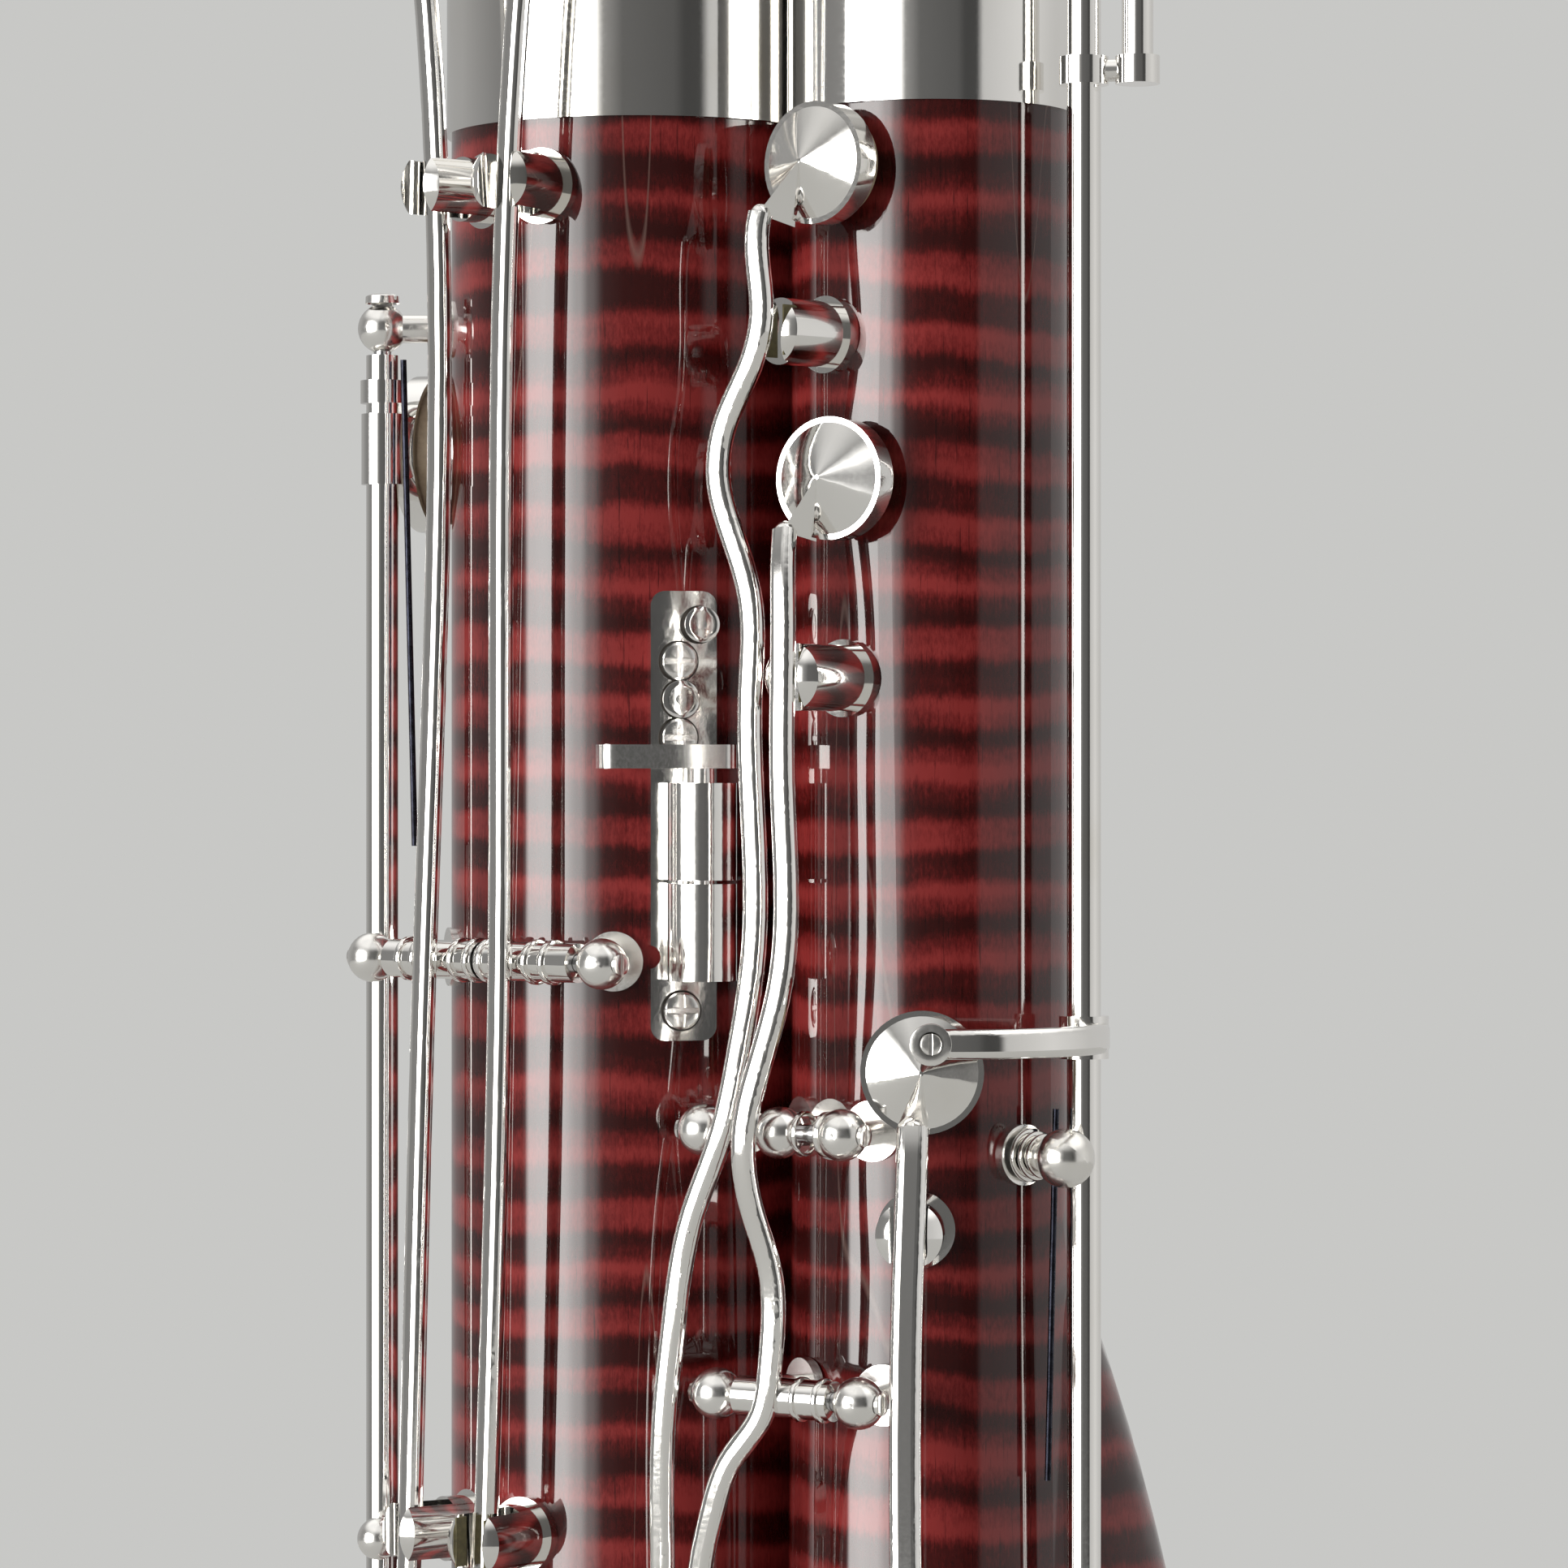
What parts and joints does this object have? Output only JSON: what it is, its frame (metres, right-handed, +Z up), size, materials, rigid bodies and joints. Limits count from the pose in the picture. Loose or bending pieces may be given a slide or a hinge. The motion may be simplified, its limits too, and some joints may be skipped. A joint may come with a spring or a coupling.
{
  "type": "bassoon",
  "caption": "Bassoon with stained maple boot, wing, long joint and bell, plated bocal, and hinged key levers, rods, pad cups and posts.",
  "frame": {"origin": "centre of the boot cap's bottom face", "axes": "+Z up the instrument, -Y the player's thumb side, +X from the long joint to the wing joint"},
  "size_m": [0.1013, 0.245, 1.34],
  "materials": {
    "red_maple": "red-stained flame maple under high gloss lacquer",
    "silver_plate": "polished silver plate on nickel silver",
    "steel": "polished steel",
    "blued_steel": "blued spring steel",
    "cork": "cork",
    "pad_leather": "pale kid leather",
    "ebonite": "black hard rubber"
  },
  "bodies": {
    "instrument": {"boot_body": "red_maple", "wing_body": "red_maple", "long_joint_body": "red_maple", "long_joint_upper": "red_maple", "bell_body": "red_maple", "u_bend_gasket": "cork", "wing_tenon_wrap": "cork", "long_tenon_wrap": "cork", "bocal_cork": "cork", "boot_top_band": "silver_plate", "boot_cap": "silver_plate", "strap_eye": "silver_plate", "wing_ferrule": "silver_plate", "long_joint_band": "silver_plate", "bell_ferrule": "silver_plate", "bell_ring": "silver_plate", "bocal_tube": "silver_plate", "tone_hole_liners": "silver_plate", "lock_plate": "silver_plate", "lock_screws": "silver_plate", "long_joint_posts": "silver_plate", "wing_joint_posts": "silver_plate", "boot_posts": "silver_plate", "long_joint_fork_guides": "silver_plate", "wing_joint_fork_guides": "silver_plate", "u_bend": "silver_plate", "long_joint_hinge_steels": "steel", "wing_joint_hinge_steels": "steel", "boot_hinge_steels": "steel", "needle_springs": "blued_steel", "finger_hole_liners": "ebonite"},
    "lock_slide": {"lock_slide": "silver_plate"},
    "low_b_flat_lever": {"low_b_flat_lever": "silver_plate"},
    "low_b_flat_key": {"low_b_flat_key": "silver_plate", "low_b_flat_pad": "pad_leather"},
    "low_b_lever": {"low_b_lever": "silver_plate"},
    "low_b_key": {"low_b_key": "silver_plate", "low_b_pad": "pad_leather"},
    "low_c_key": {"low_c_key": "silver_plate"},
    "low_d_key": {"low_d_key": "silver_plate"},
    "low_e_flat_key": {"low_e_flat_key": "silver_plate", "low_e_flat_pad": "pad_leather"},
    "low_c_sharp_key": {"low_c_sharp_key": "silver_plate"},
    "flick_a_key": {"flick_a_key": "silver_plate", "flick_a_pad": "pad_leather"},
    "flick_c_key": {"flick_c_key": "silver_plate", "flick_c_pad": "pad_leather"},
    "high_d_key": {"high_d_key": "silver_plate", "high_d_pad": "pad_leather"},
    "c_sharp_key": {"c_sharp_key": "silver_plate"},
    "whisper_key": {"whisper_key": "silver_plate", "whisper_pad": "pad_leather"},
    "low_e_key": {"low_e_key": "silver_plate"},
    "b_flat_thumb_key": {"b_flat_thumb_key": "silver_plate"},
    "f_sharp_thumb_key": {"f_sharp_thumb_key": "silver_plate"},
    "g_sharp_thumb_key": {"g_sharp_thumb_key": "silver_plate"},
    "g_key": {"g_key": "silver_plate"},
    "low_f_key": {"low_f_key": "silver_plate"},
    "f_sharp_pinky_key": {"f_sharp_pinky_key": "silver_plate"},
    "g_sharp_pinky_key": {"g_sharp_pinky_key": "silver_plate"}
  },
  "joints": [
    {"name": "low_b_flat_lever_hinge", "type": "hinge", "parent": "instrument", "child": "low_b_flat_lever", "pos_m": [-0.02309, -0.02511, 0.7755], "axis": [0.9885, -0.1513, 0], "range_deg": [0, 1.27], "stiffness_Nm_per_rad": 0.06, "springref_deg": -14.32},
    {"name": "low_b_flat_key_hinge", "type": "hinge", "parent": "instrument", "child": "low_b_flat_key", "pos_m": [-0.0309, -0.02257, 0.948], "axis": [0.8886, -0.4587, 0], "range_deg": [-3.5, 0], "stiffness_Nm_per_rad": 0.06, "springref_deg": 14.32},
    {"name": "low_b_lever_hinge", "type": "hinge", "parent": "instrument", "child": "low_b_lever", "pos_m": [-0.02309, -0.02511, 0.7755], "axis": [0.9885, -0.1513, 0], "range_deg": [0, 1.27], "stiffness_Nm_per_rad": 0.06, "springref_deg": -14.32},
    {"name": "low_b_key_hinge", "type": "hinge", "parent": "instrument", "child": "low_b_key", "pos_m": [-0.01332, -0.0247, 0.925], "axis": [0.9724, 0.2334, 0], "range_deg": [-7, 0], "stiffness_Nm_per_rad": 0.06, "springref_deg": 14.32},
    {"name": "low_c_key_hinge", "type": "hinge", "parent": "instrument", "child": "low_c_key", "pos_m": [-0.03356, -0.0229, 0.56], "axis": [0.848, -0.5299, 0], "range_deg": [0, 6], "stiffness_Nm_per_rad": 0.06, "springref_deg": -14.32},
    {"name": "low_d_key_hinge", "type": "hinge", "parent": "instrument", "child": "low_d_key", "pos_m": [-0.01272, -0.0262, 0.56], "axis": [0.9703, 0.2419, 0], "range_deg": [0, 4.5], "stiffness_Nm_per_rad": 0.06, "springref_deg": -14.32},
    {"name": "low_e_flat_key_hinge", "type": "hinge", "parent": "instrument", "child": "low_e_flat_key", "pos_m": [-0.04312, -0.01734, 0.7], "axis": [0, 0, 1], "range_deg": [0, 12], "stiffness_Nm_per_rad": 0.06, "springref_deg": -14.32},
    {"name": "low_c_sharp_key_hinge", "type": "hinge", "parent": "instrument", "child": "low_c_sharp_key", "pos_m": [-0.0466, 0.01105, 0.58], "axis": [0, 0, 1], "range_deg": [0, 12], "stiffness_Nm_per_rad": 0.06, "springref_deg": -14.32},
    {"name": "flick_a_key_hinge", "type": "hinge", "parent": "instrument", "child": "flick_a_key", "pos_m": [0.01925, -0.0235, 0.7577], "axis": [1, 0, 0], "range_deg": [0, 1.5], "stiffness_Nm_per_rad": 0.06, "springref_deg": -14.32},
    {"name": "flick_c_key_hinge", "type": "hinge", "parent": "instrument", "child": "flick_c_key", "pos_m": [0.01925, -0.024, 0.7294], "axis": [1, 0, 0], "range_deg": [0, 1.5], "stiffness_Nm_per_rad": 0.06, "springref_deg": -14.32},
    {"name": "high_d_key_hinge", "type": "hinge", "parent": "instrument", "child": "high_d_key", "pos_m": [0.02885, -0.01968, 0.692], "axis": [0.8988, 0.4384, 0], "range_deg": [0, 1.5], "stiffness_Nm_per_rad": 0.06, "springref_deg": -14.32},
    {"name": "c_sharp_key_hinge", "type": "hinge", "parent": "instrument", "child": "c_sharp_key", "pos_m": [0.02238, -0.02228, 0.604], "axis": [0.9903, 0.1392, 0], "range_deg": [-6, 0], "stiffness_Nm_per_rad": 0.06, "springref_deg": 14.32},
    {"name": "whisper_key_hinge", "type": "hinge", "parent": "instrument", "child": "whisper_key", "pos_m": [0.0395, -0.00142, 0.77], "axis": [0, 0, 1], "range_deg": [-6, 0], "stiffness_Nm_per_rad": 0.06, "springref_deg": 14.32},
    {"name": "low_e_key_hinge", "type": "hinge", "parent": "instrument", "child": "low_e_key", "pos_m": [-0.01925, -0.028, 0.368], "axis": [1, 0, 0], "range_deg": [0, 7], "stiffness_Nm_per_rad": 0.06, "springref_deg": -14.32},
    {"name": "b_flat_thumb_key_hinge", "type": "hinge", "parent": "instrument", "child": "b_flat_thumb_key", "pos_m": [0.012, -0.028, 0.372], "axis": [1, 0, 0], "range_deg": [0, 5], "stiffness_Nm_per_rad": 0.06, "springref_deg": -14.32},
    {"name": "f_sharp_thumb_key_hinge", "type": "hinge", "parent": "instrument", "child": "f_sharp_thumb_key", "pos_m": [0.014, -0.028, 0.29], "axis": [1, 0, 0], "range_deg": [-5, 0], "stiffness_Nm_per_rad": 0.06, "springref_deg": 14.32},
    {"name": "g_sharp_thumb_key_hinge", "type": "hinge", "parent": "instrument", "child": "g_sharp_thumb_key", "pos_m": [-0.014, -0.028, 0.24], "axis": [1, 0, 0], "range_deg": [-5, 0], "stiffness_Nm_per_rad": 0.06, "springref_deg": 14.32},
    {"name": "g_key_hinge", "type": "hinge", "parent": "instrument", "child": "g_key", "pos_m": [0.014, 0.028, 0.352], "axis": [-1, 0, 0], "range_deg": [0, 7], "stiffness_Nm_per_rad": 0.06, "springref_deg": -14.32},
    {"name": "low_f_key_hinge", "type": "hinge", "parent": "instrument", "child": "low_f_key", "pos_m": [-0.012, 0.028, 0.2], "axis": [-1, 0, 0], "range_deg": [0, 6], "stiffness_Nm_per_rad": 0.06, "springref_deg": -14.32},
    {"name": "f_sharp_pinky_key_hinge", "type": "hinge", "parent": "instrument", "child": "f_sharp_pinky_key", "pos_m": [0.014, 0.028, 0.232], "axis": [-1, 0, 0], "range_deg": [-5, 0], "stiffness_Nm_per_rad": 0.06, "springref_deg": 14.32},
    {"name": "g_sharp_pinky_key_hinge", "type": "hinge", "parent": "instrument", "child": "g_sharp_pinky_key", "pos_m": [0.014, 0.028, 0.14], "axis": [-1, 0, 0], "range_deg": [-5, 0], "stiffness_Nm_per_rad": 0.06, "springref_deg": 14.32},
    {"name": "lock_slide_travel", "type": "slide", "parent": "instrument", "child": "lock_slide", "axis": [0, 0, 1], "range_m": [0, 0.005]}
  ],
  "couplings": [
    {"joint": "low_b_flat_key_hinge", "follows": "low_b_flat_lever_hinge", "ratio": -2.75},
    {"joint": "low_b_key_hinge", "follows": "low_b_lever_hinge", "ratio": -5.5}
  ]
}
